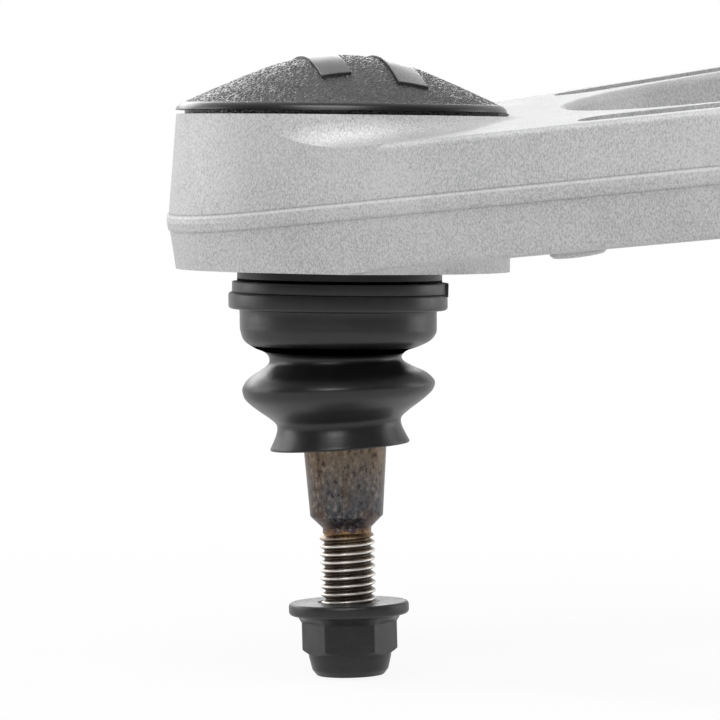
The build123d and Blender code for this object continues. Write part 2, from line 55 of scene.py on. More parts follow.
def roundedLine(corners, radii, steps):
    # Each inner corner of an open line becomes an arc of its own radius: the arc's ends lie radius / tan(half
    # the corner's angle) from the corner, and its points turn evenly about the arc's centre.
    corners = np.asarray(corners, float)
    radii = np.asarray(radii, float)[:, None]
    back = corners[:-2] - corners[1:-1]
    ahead = corners[2:] - corners[1:-1]
    back /= np.linalg.norm(back, axis=1, keepdims=True)
    ahead /= np.linalg.norm(ahead, axis=1, keepdims=True)
    half = np.arccos(np.clip((back * ahead).sum(axis=1, keepdims=True), -1, 1)) / 2
    bisector = back + ahead
    bisector /= np.linalg.norm(bisector, axis=1, keepdims=True)
    centre = corners[1:-1] + bisector * radii / np.sin(half)
    first = corners[1:-1] + back * radii / np.tan(half) - centre
    last = corners[1:-1] + ahead * radii / np.tan(half) - centre
    turn = (np.pi - 2 * half)[:, None]
    t = np.linspace(0, 1, steps)[None, :, None]
    arcs = (np.sin((1 - t) * turn) * first[:, None] + np.sin(t * turn) * last[:, None]) / np.sin(turn)
    arcs = (arcs + centre[:, None]).reshape(-1, 2)
    return np.vstack([corners[:1], arcs, corners[-1:]])


def smoothLine(points, steps):
    # A curve through all the points: between two of them a cubic whose slopes at its ends are half the step
    # from the point before to the point after.
    points = np.asarray(points, float)
    ahead = np.vstack([points[:1] * 2 - points[1:2], points, points[-1:] * 2 - points[-2:-1]])
    p0, p1, p2, p3 = ahead[:-3, None], ahead[1:-2, None], ahead[2:-1, None], ahead[3:, None]
    t = np.linspace(0, 1, steps, endpoint=False)[None, :, None]
    square = 2 * p0 - 5 * p1 + 4 * p2 - p3
    cube = 3 * p1 - p0 - 3 * p2 + p3
    line = 0.5 * (2 * p1 + (p2 - p0) * t + square * t**2 + cube * t**3)
    return np.vstack([line.reshape(-1, 2), points[-1:]])


def aboutAxis(radius, angle, height):
    # Points round the Z axis: x = radius * cos(angle), y = radius * sin(angle), z = height.
    return np.stack([radius * np.cos(angle), radius * np.sin(angle), height + 0 * angle], axis=-1)


def closedEnds(strip):
    # A strip of sections gets one more row at each end, whose points all lie in the middle of that end.
    first = np.broadcast_to(strip[:1].mean(axis=1, keepdims=True), strip[:1].shape)
    last = np.broadcast_to(strip[-1:].mean(axis=1, keepdims=True), strip[-1:].shape)
    return np.vstack([first, strip, last])


def leaned(points, degrees):
    # Turned about Y through the ball's centre, so that what hangs below moves towards the legs.
    angle = np.radians(degrees)
    x, y, z = points[..., 0], points[..., 1], points[..., 2]
    along, up = x * np.cos(angle) - z * np.sin(angle), x * np.sin(angle) + z * np.cos(angle)
    return np.stack([along, y, up], axis=-1)


def gridFaces(index):
    # The four corners of each cell, for a grid whose points are numbered by index.
    corners = [index[:-1, :-1], index[:-1, 1:], index[1:, 1:], index[1:, :-1]]
    return np.stack(corners, axis=-1).reshape(-1, 4)


def gridMesh(name, points, material, crispAngle=40, outward=True):
    # One four-sided face per cell of a rows x columns grid of points.
    rows, columns = points.shape[:2]
    quads = gridFaces(np.arange(rows * columns).reshape(rows, columns))
    return plainMesh(name, points.reshape(-1, 3), quads, material, crispAngle, outward)


def plainMesh(name, points, quads, material, crispAngle=40, outward=True):
    # Whole arrays of points, in millimetres, and of four-sided faces go into a new object. Doubled points at
    # seams and poles are merged, which closes them, and the faces are turned outwards.
    mesh = bpy.data.meshes.new(name)
    mesh.vertices.add(len(points))
    mesh.vertices.foreach_set("co", (points * mm).astype(np.float32).ravel())
    mesh.loops.add(quads.size)
    mesh.loops.foreach_set("vertex_index", quads.astype(np.int32).ravel())
    mesh.polygons.add(len(quads))
    mesh.polygons.foreach_set("loop_start", np.arange(0, quads.size, 4, dtype=np.int32))
    mesh.update(calc_edges=True)
    work = bmesh.new()
    work.from_mesh(mesh)
    bmesh.ops.remove_doubles(work, verts=work.verts, dist=1e-7)
    bmesh.ops.dissolve_degenerate(work, edges=work.edges, dist=1e-8)
    if outward:
        bmesh.ops.recalc_face_normals(work, faces=work.faces)
    work.to_mesh(mesh)
    work.free()
    mesh.polygons.foreach_set("use_smooth", np.ones(len(mesh.polygons), bool))
    mesh.set_sharp_from_angle(angle=np.radians(crispAngle))
    mesh.materials.append(material)
    piece = bpy.data.objects.new(name, mesh)
    bpy.context.scene.collection.objects.link(piece)
    return piece


def softMin(a, b, width):
    # The smaller of two values, with a round change from one to the other over about the given width.
    blend = np.clip(0.5 + 0.5 * (b - a) / width, 0, 1)
    return b * (1 - blend) + a * blend - width * blend * (1 - blend)


# Shared tools for materials

def newMaterial(name):
    # A material with nodes, its tree, and the shader in it.
    material = bpy.data.materials.new(name)
    material.use_nodes = True
    tree = material.node_tree
    return material, tree, tree.nodes["Principled BSDF"]


def addNode(tree, kind, settings=None, **sockets):
    # One node, its settings, and its inputs: a number or colour is written, an output is linked.
    node = tree.nodes.new(kind)
    for key, value in (settings or {}).items():
        setattr(node, key, value)
    for key, value in sockets.items():
        socket = node.inputs[int(key[2:])] if key.startswith("in") else node.inputs[key.replace("_", " ")]
        if isinstance(value, bpy.types.NodeSocket):
            tree.links.new(value, socket)
        else:
            socket.default_value = value
    return node


def position(tree, stretch=(1, 1, 1)):
    # Object coordinates, stretched along each axis.
    where = addNode(tree, "ShaderNodeTexCoord")
    return addNode(tree, "ShaderNodeMapping", Vector=where.outputs["Object"], Scale=stretch).outputs["Vector"]


def noise(tree, where, scale, detail, roughness):
    # A cloudy pattern around 0.5, with scale waves to a metre.
    node = addNode(tree, "ShaderNodeTexNoise", Vector=where, Scale=scale, Detail=detail, Roughness=roughness)
    return node.outputs["Fac"]


def cells(tree, where, scale):
    # The distance to the nearest of scattered points, where 1 is their spacing and scale of those go into a
    # metre.
    return addNode(tree, "ShaderNodeTexVoronoi", Vector=where, Scale=scale).outputs["Distance"]


def ramp(tree, value, stops):
    # A colour for each value: stops is a list of (place, colour), greys may be one number.
    node = addNode(tree, "ShaderNodeValToRGB", Fac=value)
    while len(node.color_ramp.elements) < len(stops):
        node.color_ramp.elements.new(0.5)
    for element, (place, colour) in zip(node.color_ramp.elements, stops):
        element.position = place
        element.color = (colour,) * 3 + (1,) if isinstance(colour, (int, float)) else (*colour, 1)
    return node.outputs["Color"]


def spread(tree, value, low, high, toLow=0.0, toHigh=1.0):
    # The range low..high of a value becomes toLow..toHigh.
    node = addNode(tree, "ShaderNodeMapRange", Value=value, From_Min=low, From_Max=high,
                   To_Min=toLow, To_Max=toHigh)
    return node.outputs["Result"]


def spreadBetween(tree, value, borders, toLow=0.0, toHigh=1.0):
    # The same between two borders in millimetres.
    return spread(tree, value, borders[0] * mm, borders[1] * mm, toLow, toHigh)


def combine(tree, how, a, b):
    # One operation on two numbers.
    return addNode(tree, "ShaderNodeMath", {"operation": how}, in0=a, in1=b).outputs["Value"]


def weighted(tree, *parts):
    # The sum of several values, each multiplied by its own share.
    total = 0.0
    for value, share in parts:
        total = combine(tree, "ADD", total, combine(tree, "MULTIPLY", value, share))
    return total


def vector(tree, how, a, b=(0, 0, 0)):
    # One operation on two vectors, or on the first alone.
    return addNode(tree, "ShaderNodeVectorMath", {"operation": how}, in0=a, in1=b).outputs


def mixColour(tree, share, a, b):
    # Colour a where share is 0, and colour b where it is 1.
    node = addNode(tree, "ShaderNodeMix", {"data_type": "RGBA"})
    for socket, value in ((0, share), (6, a), (7, b)):
        if isinstance(value, bpy.types.NodeSocket):
            tree.links.new(value, node.inputs[socket])
        else:
            node.inputs[socket].default_value = value if socket == 0 else (*value, 1)
    return node.outputs[2]


def bump(tree, height, depth, under=None):
    # A raised pattern: height 1 stands depth millimetres over height 0.
    node = addNode(tree, "ShaderNodeBump", Height=height, Distance=depth * mm, Strength=1.0)
    if under:
        tree.links.new(under, node.inputs["Normal"])
    return node.outputs["Normal"]


def link(tree, output, shader, socket):
    # An output goes into the named input of a shader.
    tree.links.new(output, shader.inputs[socket])


# Camera: the photograph's view, square to the legs' side, from a little above

cameraView = {
    "distance": 978.0,      # in front of the ball's centre
    "height": 20.65,
    "lens": 225.0,
    "pitch": 2.67,          # looks down by this
    "yaw": 0.27,            # and to the right by this
    "roll": 0.6,
}


def addCamera():
    # It looks along Y, turned by yaw, then by pitch, then by roll about its own axis.
    data = bpy.data.cameras.new("sideCamera")
    data.lens = cameraView["lens"]
    data.sensor_width = 36.0
    data.clip_start = 0.05
    data.clip_end = 20.0
    camera = bpy.data.objects.new("sideCamera", data)
    aim = Matrix.Rotation(-np.radians(cameraView["yaw"]), 4, "Z")
    aim = aim @ Matrix.Rotation(np.pi / 2 - np.radians(cameraView["pitch"]), 4, "X")
    aim = aim @ Matrix.Rotation(np.radians(cameraView["roll"]), 4, "Z")
    place = (0, -cameraView["distance"] * mm, cameraView["height"] * mm)
    camera.matrix_world = Matrix.Translation(place) @ aim
    bpy.context.scene.collection.objects.link(camera)
    bpy.context.scene.camera = camera


addCamera()
print("Stage 2: the camera stands")


# Finishes of the forging and of the steel

armFinish = {
    "colour": (0.60, 0.60, 0.605),
    "darkColour": (0.39, 0.39, 0.395),
    "grain": 0.30,          # size of the blasted grain across, and it is taller than wide
    "grainDepth": 0.045,
    "metallic": 0.5,
    "roughness": (0.68, 0.56),
    "bandTilt": 3.55,       # the trimmed band follows the plane of the legs, which leans like this
    "bandRise": 8.2,
    "bandMiddle": 10.3,
    "bandHalf": 1.72,
    # each painted line's place as a share of bandHalf, its half width, its strength and its grey: painted
    # shade over the band, a painted highlight under that, and painted shade along the lower edge
    "bandPaintedLines": ((1.08, 0.21, 0.34, 0.14), (0.78, 0.34, 0.36, 0.90), (-0.95, 0.50, 0.15, 0.22)),
}


def bandShadeAndHighlight(tree, colour, height):
    # Painted light along the trimmed band: a fine dark line of painted shade over the band, a pale
    # line of painted highlight under it, and a darker lower edge of painted shade. The height is in
    # millimetres over the band's middle. Each line is full over the inner 0.4 of its half width and fades
    # to nothing at its border.
    for middle, half, share, line in armFinish["bandPaintedLines"]:
        away = combine(tree, "SUBTRACT", height, armFinish["bandHalf"] * middle)
        away = combine(tree, "ABSOLUTE", away, 0.0)
        colour = mixColour(tree, spread(tree, away, half * 0.4, half, share, 0.0), colour, (line,) * 3)
    return colour


def blastedAluminium():
    # Fine blasted grain over slow changes of tone, with upright tear marks on the trimmed band, and lines of
    # painted shade and highlight along it.
    material, tree, shader = newMaterial("armAluminium")
    where = position(tree)
    upright = position(tree, (1, 1, 0.55))
    scale = 1 / (armFinish["grain"] * mm)
    fine = noise(tree, upright, scale, 2.0, 0.6)
    coarse = noise(tree, upright, scale / 4, 3.0, 0.6)
    slow = noise(tree, where, 60.0, 3.0, 0.5)
    pits = cells(tree, upright, scale * 0.55)
    tone = weighted(tree, (fine, 0.8), (slow, 0.2))
    colour = ramp(tree, tone, [(0.36, armFinish["darkColour"]), (0.58, armFinish["colour"])])
    link(tree, spread(tree, fine, 0.3, 0.7, *armFinish["roughness"]), shader, "Roughness")
    shader.inputs["Metallic"].default_value = armFinish["metallic"]

    tilt, rise = np.radians(armFinish["bandTilt"]), np.radians(armFinish["bandRise"])
    normal = (-np.sin(rise), -np.sin(tilt) * np.cos(rise), np.cos(tilt) * np.cos(rise))
    offset = vector(tree, "SUBTRACT", where, (0, 0, armFinish["bandMiddle"] * mm))["Vector"]
    height = vector(tree, "DOT_PRODUCT", offset, normal)["Value"]
    height = combine(tree, "DIVIDE", height, mm)
    away = combine(tree, "ABSOLUTE", height, 0.0)
    onBand = combine(tree, "LESS_THAN", away, armFinish["bandHalf"])
    # painted shade and a painted highlight along the band go into the colour here
    link(tree, bandShadeAndHighlight(tree, colour, height), shader, "Base Color")
    tears = noise(tree, position(tree, (1, 1, 0.12)), 1500.0, 2.0, 0.5)
    tears = combine(tree, "MULTIPLY", tears, onBand)
    surface = weighted(tree, (fine, 0.7), (coarse, 0.6), (pits, -0.35), (tears, 1.2))
    link(tree, bump(tree, surface, armFinish["grainDepth"]), shader, "Normal")
    return material


def darkSteel(name, colour, roughness, grain, depth, metallic, stretch=(1, 1, 1)):
    # Blackened steel: a fine grain, paler where it is rubbed, and small changes of gloss. The size and depth
    # of the grain are in millimetres.
    material, tree, shader = newMaterial(name)
    where = position(tree, stretch)
    fine = noise(tree, where, 1 / (grain * mm), 4.0, 0.6)
    slow = noise(tree, where, 110.0, 4.0, 0.6)
    tone = weighted(tree, (fine, 0.5), (slow, 0.5))
    pale = tuple(min(1.0, value * 1.7 + 0.004) for value in colour)
    deep = tuple(value * 0.6 for value in colour)
    link(tree, ramp(tree, tone, [(0.35, deep), (0.52, colour), (0.68, pale)]), shader, "Base Color")
    link(tree, spread(tree, tone, 0.35, 0.65, roughness + 0.08, roughness - 0.08), shader, "Roughness")
    link(tree, bump(tree, fine, depth), shader, "Normal")
    shader.inputs["Metallic"].default_value = metallic
    return material


def shadowLine(material, low, high, gloss=0.35, fade=0.01, attribute=None):
    # A groove too narrow to model, or the dark deep in a fold: between two heights the surface is black and
    # dull, and the change takes the given fade at each of them. A piece that bends brings its heights at rest
    # as an attribute.
    tree = material.node_tree
    shader = tree.nodes["Principled BSDF"]
    if attribute:
        z = addNode(tree, "ShaderNodeAttribute", {"attribute_name": attribute}).outputs["Fac"]
    else:
        z = addNode(tree, "ShaderNodeSeparateXYZ", Vector=position(tree)).outputs["Z"]
    over = spreadBetween(tree, z, (low - fade, low))
    under = spreadBetween(tree, z, (high, high + fade), 1.0, 0.0)
    inside = combine(tree, "MULTIPLY", over, under)
    before = shader.inputs["Base Color"].links[0].from_socket
    link(tree, mixColour(tree, inside, before, (0.0005, 0.0005, 0.0005)), shader, "Base Color")
    link(tree, spread(tree, inside, 0, 1, gloss, 0.0), shader, "Specular IOR Level")


def platedSteel(name, colour, roughness, rings=0.25):
    # Turned and plated steel: fine rings across the turning axis and cloudy plating.
    material, tree, shader = newMaterial(name)
    cloudy = noise(tree, position(tree), 180.0, 4.0, 0.6)
    marks = noise(tree, position(tree, (0.08, 1, 0.08)), 1 / (rings * mm), 2.0, 0.5)
    tone = weighted(tree, (cloudy, 0.7), (marks, 0.3))
    pale = tuple(min(1.0, value * 1.15) for value in colour)
    deep = tuple(value * 0.72 for value in colour)
    link(tree, ramp(tree, tone, [(0.35, deep), (0.65, pale)]), shader, "Base Color")
    link(tree, spread(tree, cloudy, 0.3, 0.7, roughness + 0.1, roughness - 0.06), shader, "Roughness")
    link(tree, bump(tree, marks, 0.012), shader, "Normal")
    shader.inputs["Metallic"].default_value = 1.0
    return material


def mouldedRubber(name, colour, roughness, speck=0.02):
    # Moulded black rubber: slight bloom, fine specks of dust and a soft uneven surface.
    material, tree, shader = newMaterial(name)
    where = position(tree)
    fine = noise(tree, where, 2200.0, 3.0, 0.6)
    slow = noise(tree, where, 90.0, 4.0, 0.6)
    dust = spread(tree, noise(tree, where, 900.0, 2.0, 0.5), 0.68, 0.80, 0.0, speck)
    pale = tuple(value * 1.9 for value in colour)
    body = ramp(tree, slow, [(0.35, colour), (0.70, pale)])
    link(tree, mixColour(tree, dust, body, (0.5, 0.5, 0.5)), shader, "Base Color")
    tone = weighted(tree, (fine, 0.4), (slow, 0.6))
    link(tree, spread(tree, tone, 0.35, 0.65, roughness + 0.07, roughness - 0.07), shader, "Roughness")
    link(tree, bump(tree, fine, 0.006, under=bump(tree, slow, 0.12)), shader, "Normal")
    return material


capFinish = {
    "colour": (0.013, 0.013, 0.014),
    "darkColour": (0.008, 0.008, 0.0085),
    "barColour": (0.034, 0.034, 0.036),
    "barDarkColour": (0.020, 0.020, 0.022),
    "roughness": (0.36, 0.28),
    "pebbles": 1700.0,      # to a metre
    "pebbleDepth": 0.20,
    "grainFades": (34.1, 34.7),     # between these distances from the axis
    "gloss": 0.9,
    "edgeGloss": 0.35,
    "barSideGloss": 0.15,
}


def grainedPlastic():
    # Black moulded plastic over the modelled grain, with a finer grain of its own that ends at the smooth
    # edge: between the two distances of grainFades it goes from whole to nothing.
    material, tree, shader = newMaterial("capPlastic")
    where = position(tree)
    radius = vector(tree, "LENGTH", position(tree, (1, 1, 0)))["Value"]
    grained = spreadBetween(tree, radius, capFinish["grainFades"], 1.0, 0.0)
    pebbles = cells(tree, where, capFinish["pebbles"])
    fine = noise(tree, where, 3000.0, 3.0, 0.6)
    slow = noise(tree, where, 120.0, 3.0, 0.6)
    colour = ramp(tree, slow, [(0.35, capFinish["darkColour"]), (0.65, capFinish["colour"])])
    link(tree, colour, shader, "Base Color")
    link(tree, spread(tree, slow, 0.3, 0.7, *capFinish["roughness"]), shader, "Roughness")
    soft = combine(tree, "MULTIPLY", spread(tree, pebbles, 0.0, 0.8, 1.0, 0.0), grained)
    soft = bump(tree, soft, capFinish["pebbleDepth"])
    link(tree, bump(tree, fine, 0.006, under=soft), shader, "Normal")
    gloss = spread(tree, grained, 0, 1, capFinish["edgeGloss"], capFinish["gloss"])
    link(tree, gloss, shader, "Specular IOR Level")
    return material


def smoothPlastic():
    # The two bars: the same plastic, smoother and a little glossy on top, dull on their steep sides and ends.
    material, tree, shader = newMaterial("barPlastic")
    where = position(tree)
    slow = noise(tree, where, 160.0, 4.0, 0.6)
    fine = noise(tree, where, 2600.0, 2.0, 0.5)
    colour = ramp(tree, slow, [(0.35, capFinish["barDarkColour"]), (0.65, capFinish["barColour"])])
    link(tree, colour, shader, "Base Color")
    link(tree, spread(tree, slow, 0.3, 0.7, *capFinish["roughness"]), shader, "Roughness")
    link(tree, bump(tree, fine, 0.003), shader, "Normal")
    facing = addNode(tree, "ShaderNodeNewGeometry").outputs["Normal"]
    upward = addNode(tree, "ShaderNodeSeparateXYZ", Vector=facing).outputs["Z"]
    gloss = spread(tree, upward, 0.45, 0.8, capFinish["barSideGloss"], capFinish["gloss"])
    link(tree, gloss, shader, "Specular IOR Level")
    return material


studFinish = {
    # the tints, and the heights of the first and the last of them
    "tintHeights": (-78, -40),
    "tints": [
        (0.00, (0.36, 0.33, 0.30)),
        (0.36, (0.33, 0.27, 0.21)),
        (0.40, (0.36, 0.22, 0.09)),
        (0.425, (0.060, 0.042, 0.058)),
        (0.47, (0.060, 0.062, 0.072)),
        (0.66, (0.105, 0.100, 0.100)),
        (0.84, (0.150, 0.118, 0.090)),
        (1.00, (0.190, 0.140, 0.095)),
    ],
    "tintFlow": 9,          # how far a whole step of the mottle moves a tint up
    # the patches, and the mottle's pale and deep spots
    "rust": (0.095, 0.050, 0.024),
    "pale": (0.40, 0.34, 0.28),
    "deep": (0.020, 0.016, 0.014),
    "threadFrom": (-64.6, -63.4),   # the tinted thread begins between these heights
    "rootRadii": (5.1, 5.6),
    "root": (0.030, 0.020, 0.012),
    "crestRadii": (5.65, 5.95),
    "crest": (0.85, 0.83, 0.80),
}


def heatTintedSteel():
    # The stud from top to bottom: tan and rust-brown mottling, blue-grey steel, a dark purple tint at the end
    # of the taper, then a golden first thread and dark brown thread roots under bright crests. How far a
    # point lies from the stud's axis tells root and crest apart.
    material, tree, shader = newMaterial("studSteel")
    angle = np.radians(studLean)
    where = position(tree)
    axis = (-np.sin(angle), 0, np.cos(angle))
    along = vector(tree, "DOT_PRODUCT", where, axis)["Value"]
    mottle = noise(tree, position(tree, (1, 1, 0.7)), 1150.0, 3.0, 0.6)
    patches = noise(tree, position(tree, (1, 1, 0.6)), 190.0, 4.0, 0.6)
    flow = combine(tree, "MULTIPLY", combine(tree, "SUBTRACT", mottle, 0.5), studFinish["tintFlow"] * mm)
    height = spreadBetween(tree, combine(tree, "ADD", along, flow), studFinish["tintHeights"])
    tint = ramp(tree, height, studFinish["tints"])
    rust = ramp(tree, patches, [(0.42, 0.0), (0.60, 1.0)])
    tinted = mixColour(tree, combine(tree, "MULTIPLY", rust, 0.55), tint, studFinish["rust"])
    tinted = mixColour(tree, spread(tree, mottle, 0.54, 0.68, 0.0, 0.38), tinted, studFinish["pale"])
    tinted = mixColour(tree, spread(tree, mottle, 0.34, 0.46, 0.75, 0.0), tinted, studFinish["deep"])
    radius = vector(tree, "LENGTH", vector(tree, "CROSS_PRODUCT", where, axis)["Vector"])["Value"]
    onThread = spreadBetween(tree, along, studFinish["threadFrom"], 1.0, 0.0)
    root = spreadBetween(tree, radius, studFinish["rootRadii"], 0.85, 0.0)
    crest = spreadBetween(tree, radius, studFinish["crestRadii"], 0.0, 0.75)
    tinted = mixColour(tree, combine(tree, "MULTIPLY", onThread, root), tinted, studFinish["root"])
    tinted = mixColour(tree, combine(tree, "MULTIPLY", onThread, crest), tinted, studFinish["crest"])
    link(tree, tinted, shader, "Base Color")
    link(tree, spread(tree, mottle, 0.3, 0.7, 0.30, 0.52), shader, "Roughness")
    turning = noise(tree, position(tree, (0.1, 0.1, 1)), 5200.0, 2.0, 0.5)
    surface = bump(tree, mottle, 0.03, under=bump(tree, turning, 0.008))
    link(tree, surface, shader, "Normal")
    shader.inputs["Metallic"].default_value = 0.95
    return material


def whitePlastic(name, colour):
    # Pale bearing plastic with faint flow marks.
    material, tree, shader = newMaterial(name)
    slow = noise(tree, position(tree, (1, 1, 3)), 140.0, 4.0, 0.6)
    pale = tuple(min(1.0, value * 1.15) for value in colour)
    link(tree, ramp(tree, slow, [(0.3, colour), (0.7, pale)]), shader, "Base Color")
    link(tree, spread(tree, slow, 0.3, 0.7, 0.42, 0.32), shader, "Roughness")
    link(tree, bump(tree, slow, 0.05), shader, "Normal")
    return material


# the groove over the strap, and the dark in the boot's fold
strapGroove = {"low": -7.95, "high": -7.35}
foldShade = {"low": -23.3, "high": -22.0, "gloss": 0.5, "fade": 0.8, "attribute": "restHeight"}

armAluminium = blastedAluminium()
housingSteel = darkSteel("housingSteel", (0.006, 0.006, 0.0065), 0.42, 0.30, 0.010, 0.1, (1, 1, 5))
shadowLine(housingSteel, **strapGroove)
ringSteel = darkSteel("ringSteel", (0.009, 0.009, 0.0095), 0.38, 0.25, 0.012, 0.1)
nutSteel = darkSteel("nutSteel", (0.019, 0.019, 0.0205), 0.42, 0.28, 0.012, 0.3)
springSteel = darkSteel("springSteel", (0.060, 0.058, 0.055), 0.35, 0.3, 0.008, 0.9)
studSteel = heatTintedSteel()
zincSteel = platedSteel("zincSteel", (0.55, 0.55, 0.53), 0.30)
capPlastic = grainedPlastic()
barPlastic = smoothPlastic()
bootRubber = mouldedRubber("bootRubber", (0.006, 0.006, 0.0065), 0.37)
shadowLine(bootRubber, **foldShade)
bushingRubber = mouldedRubber("bushingRubber", (0.018, 0.018, 0.018), 0.55)
racePlastic = whitePlastic("racePlastic", (0.62, 0.61, 0.56))
insertNylon = whitePlastic("insertNylon", (0.48, 0.50, 0.52))
print("Stage 3: the finishes are mixed")


# Finishes of the solids that stay as they are

solidFinish = {
    "forged_arm": armAluminium,
    "ball_joint_housing": housingSteel,
    "end_cap": zincSteel,
    "preload_washer": springSteel,
    "housing_snap_ring": springSteel,
    "boot_lip_ring": springSteel,
    "upper_race": racePlastic,
    "lower_race": racePlastic,
    "dust_cap_o_ring": bushingRubber,
    "nut_locking_insert": insertNylon,
    "front_outer_sleeve": zincSteel,
    "rear_outer_sleeve": zincSteel,
    "front_bushing_rubber": bushingRubber,
    "rear_bushing_rubber": bushingRubber,
    "front_inner_sleeve": zincSteel,
    "rear_inner_sleeve": zincSteel,
}
for nodeName, material in solidFinish.items():
    for materialSlot in nodes[nodeName].material_slots:
        materialSlot.material = material


# Dust cap: a shallow dome with a moulded leather grain, its rim, and the skirt that goes down into the eye

dustCap = {
    "rimRadius": 36.0,
    "rimTop": 29.9,
    "rimBottom": 29.0,
    "seatRadius": 34.0,
    "eyeTop": 28.1,
    "crownTop": 41.3,
    "crownRadius": 48.0,    # curve of the crown, as far out as crownReach
    "crownReach": 18.0,
    "skirtRadius": 29.8,
    "skirtInner": 26.9,
    "skirtBottom": 23.2,
    "wall": 2.2,
    "edgeWidth": 1.3,       # the smooth round edge of the dome, and how far it drops
    "edgeDrop": 0.9,
    "grainEnds": 34.8,
    "grainSize": 0.95,
    "grainDepth": 0.2,
    "cellsAcross": 262,
}


def domeHeight(radius):
    # The crown is a circle of crownRadius about the axis. Past crownReach a second circle goes on with the
    # same slope and meets the rim: its radius is the distance to the rim squared, over twice that distance's
    # share across the slope. The edge falls off as a quarter of an ellipse.
    top, curve, reach = dustCap["crownTop"], dustCap["crownRadius"], dustCap["crownReach"]
    crown = top - curve + np.sqrt(curve**2 - np.minimum(radius, reach) ** 2)
    knee = np.array([reach, top - curve + np.sqrt(curve**2 - reach**2)])
    across = np.array([-reach, top - curve - knee[1]])
    across /= np.linalg.norm(across)
    toRim = np.array([dustCap["rimRadius"], dustCap["rimTop"]]) - knee
    flankRadius = (toRim @ toRim) / (2 * toRim @ across)
    middle = knee + across * flankRadius
    flank = middle[1] + np.sqrt(np.maximum(flankRadius**2 - (radius - middle[0]) ** 2, 0))
    share = np.clip(1 - (dustCap["rimRadius"] - radius) / dustCap["edgeWidth"], 0, 1)
    drop = dustCap["edgeDrop"] * (1 - np.sqrt(1 - share**2))
    return np.where(radius <= reach, crown, flank) - drop


def leatherGrain(x, y, size, seed=4):
    # Each cell of a square grid holds one seed point at a random place. The distances to the nearest and to
    # the second nearest seed are almost equal in a crease, so their difference is 0 there and grows on the
    # pebbles, whose tops are round: 1 minus the square of the nearest distance.
    shift = np.random.default_rng(seed).random((64, 64, 2))
    u, v = x / size, y / size
    cellU, cellV = np.floor(u).astype(int), np.floor(v).astype(int)
    nearest = np.full(u.shape, 9.0)
    second = np.full(u.shape, 9.0)
    for stepU in (-1, 0, 1):
        for stepV in (-1, 0, 1):
            place = shift[(cellU + stepU) % 64, (cellV + stepV) % 64]
            away = np.hypot(cellU + stepU + place[..., 0] - u, cellV + stepV + place[..., 1] - v)
            second = np.minimum(second, np.maximum(nearest, away))
            nearest = np.minimum(nearest, away)
    ridge = np.clip((second - nearest) / 0.6, 0, 1)
    return ridge * ridge * (3 - 2 * ridge) * (1 - nearest * nearest)


def discGrid(count):
    # A square grid pushed out to a disc of radius 1:
    # x = u * sqrt(1 - v * v / 2), y = v * sqrt(1 - u * u / 2).
    u, v = np.meshgrid(np.linspace(-1, 1, count + 1), np.linspace(-1, 1, count + 1), indexing="ij")
    return u * np.sqrt(1 - v * v / 2), v * np.sqrt(1 - u * u / 2)


def buildDustCap():
    # The dome is a disc grid lifted to domeHeight, with the grain pressed in and fading at the rim. Rings of
    # the same edge points then go round the rim, down the skirt, up inside it and under the dome, where the
    # last ring closes on the axis.
    count = dustCap["cellsAcross"]
    x, y = discGrid(count)
    x, y = x * dustCap["rimRadius"], y * dustCap["rimRadius"]
    radius = np.minimum(np.hypot(x, y), dustCap["rimRadius"])
    fade = np.clip(dustCap["grainEnds"] - radius, 0, 1)
    grain = leatherGrain(x, y, dustCap["grainSize"]) - 1
    dome = np.stack([x, y, domeHeight(radius) + dustCap["grainDepth"] * grain * fade], axis=-1).reshape(-1, 3)

    index = np.arange((count + 1) ** 2).reshape(count + 1, count + 1)
    edge = np.concatenate([index[:-1, 0], index[-1, :-1], index[:0:-1, -1], index[0, :0:-1]])
    direction = dome[edge][:, :2] / dustCap["rimRadius"]
    inner, ceiling = dustCap["skirtInner"], dustCap["crownTop"] - dustCap["wall"]
    below = roundedLine([
        (dustCap["rimRadius"], dustCap["rimTop"] - dustCap["edgeDrop"]),
        (dustCap["rimRadius"] - 0.1, dustCap["rimBottom"] - 0.05),
        (dustCap["seatRadius"], dustCap["rimBottom"]),
        (dustCap["seatRadius"], dustCap["eyeTop"]),
        (dustCap["skirtRadius"], dustCap["eyeTop"]),
        (dustCap["skirtRadius"], dustCap["skirtBottom"]),
        (inner, dustCap["skirtBottom"]),
        (inner, dustCap["eyeTop"] + 2.6),
        (inner / 2, ceiling - 1.6),
        (0.0, ceiling),
    ], [0.05, 0.15, 0.1, 0.2, 0.3, 0.3, 1.5, 6.0], 3)
    rings = np.concatenate([
        direction[None] * below[:, :1, None],
        np.broadcast_to(below[:, 1:, None], (len(below), len(edge), 1)),
    ], axis=-1)
    ringIndex = len(dome) + np.arange(len(below) * len(edge)).reshape(len(below), len(edge))
    ringIndex = np.vstack([edge[None], ringIndex])
    ringIndex = np.hstack([ringIndex, ringIndex[:, :1]])
    points = np.vstack([dome, rings.reshape(-1, 3)])
    faces = np.vstack([gridFaces(index), gridFaces(ringIndex)])
    cap = plainMesh("dustCapDome", points, faces, capPlastic, 50)
    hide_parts("dust_cap")
    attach(cap, "arm")


capBars = {
    "width": 6.5,
    "proud": 0.55,
    "sunk": 0.4,
    "halfLength": 22.0,
    "slant": 13.5,
    "middles": (-6.2, 10.2),
    "edge": 0.22,           # rounding of the bars' edges
    "edgeSteps": 6,
    "stations": 108,        # along the straight part
}


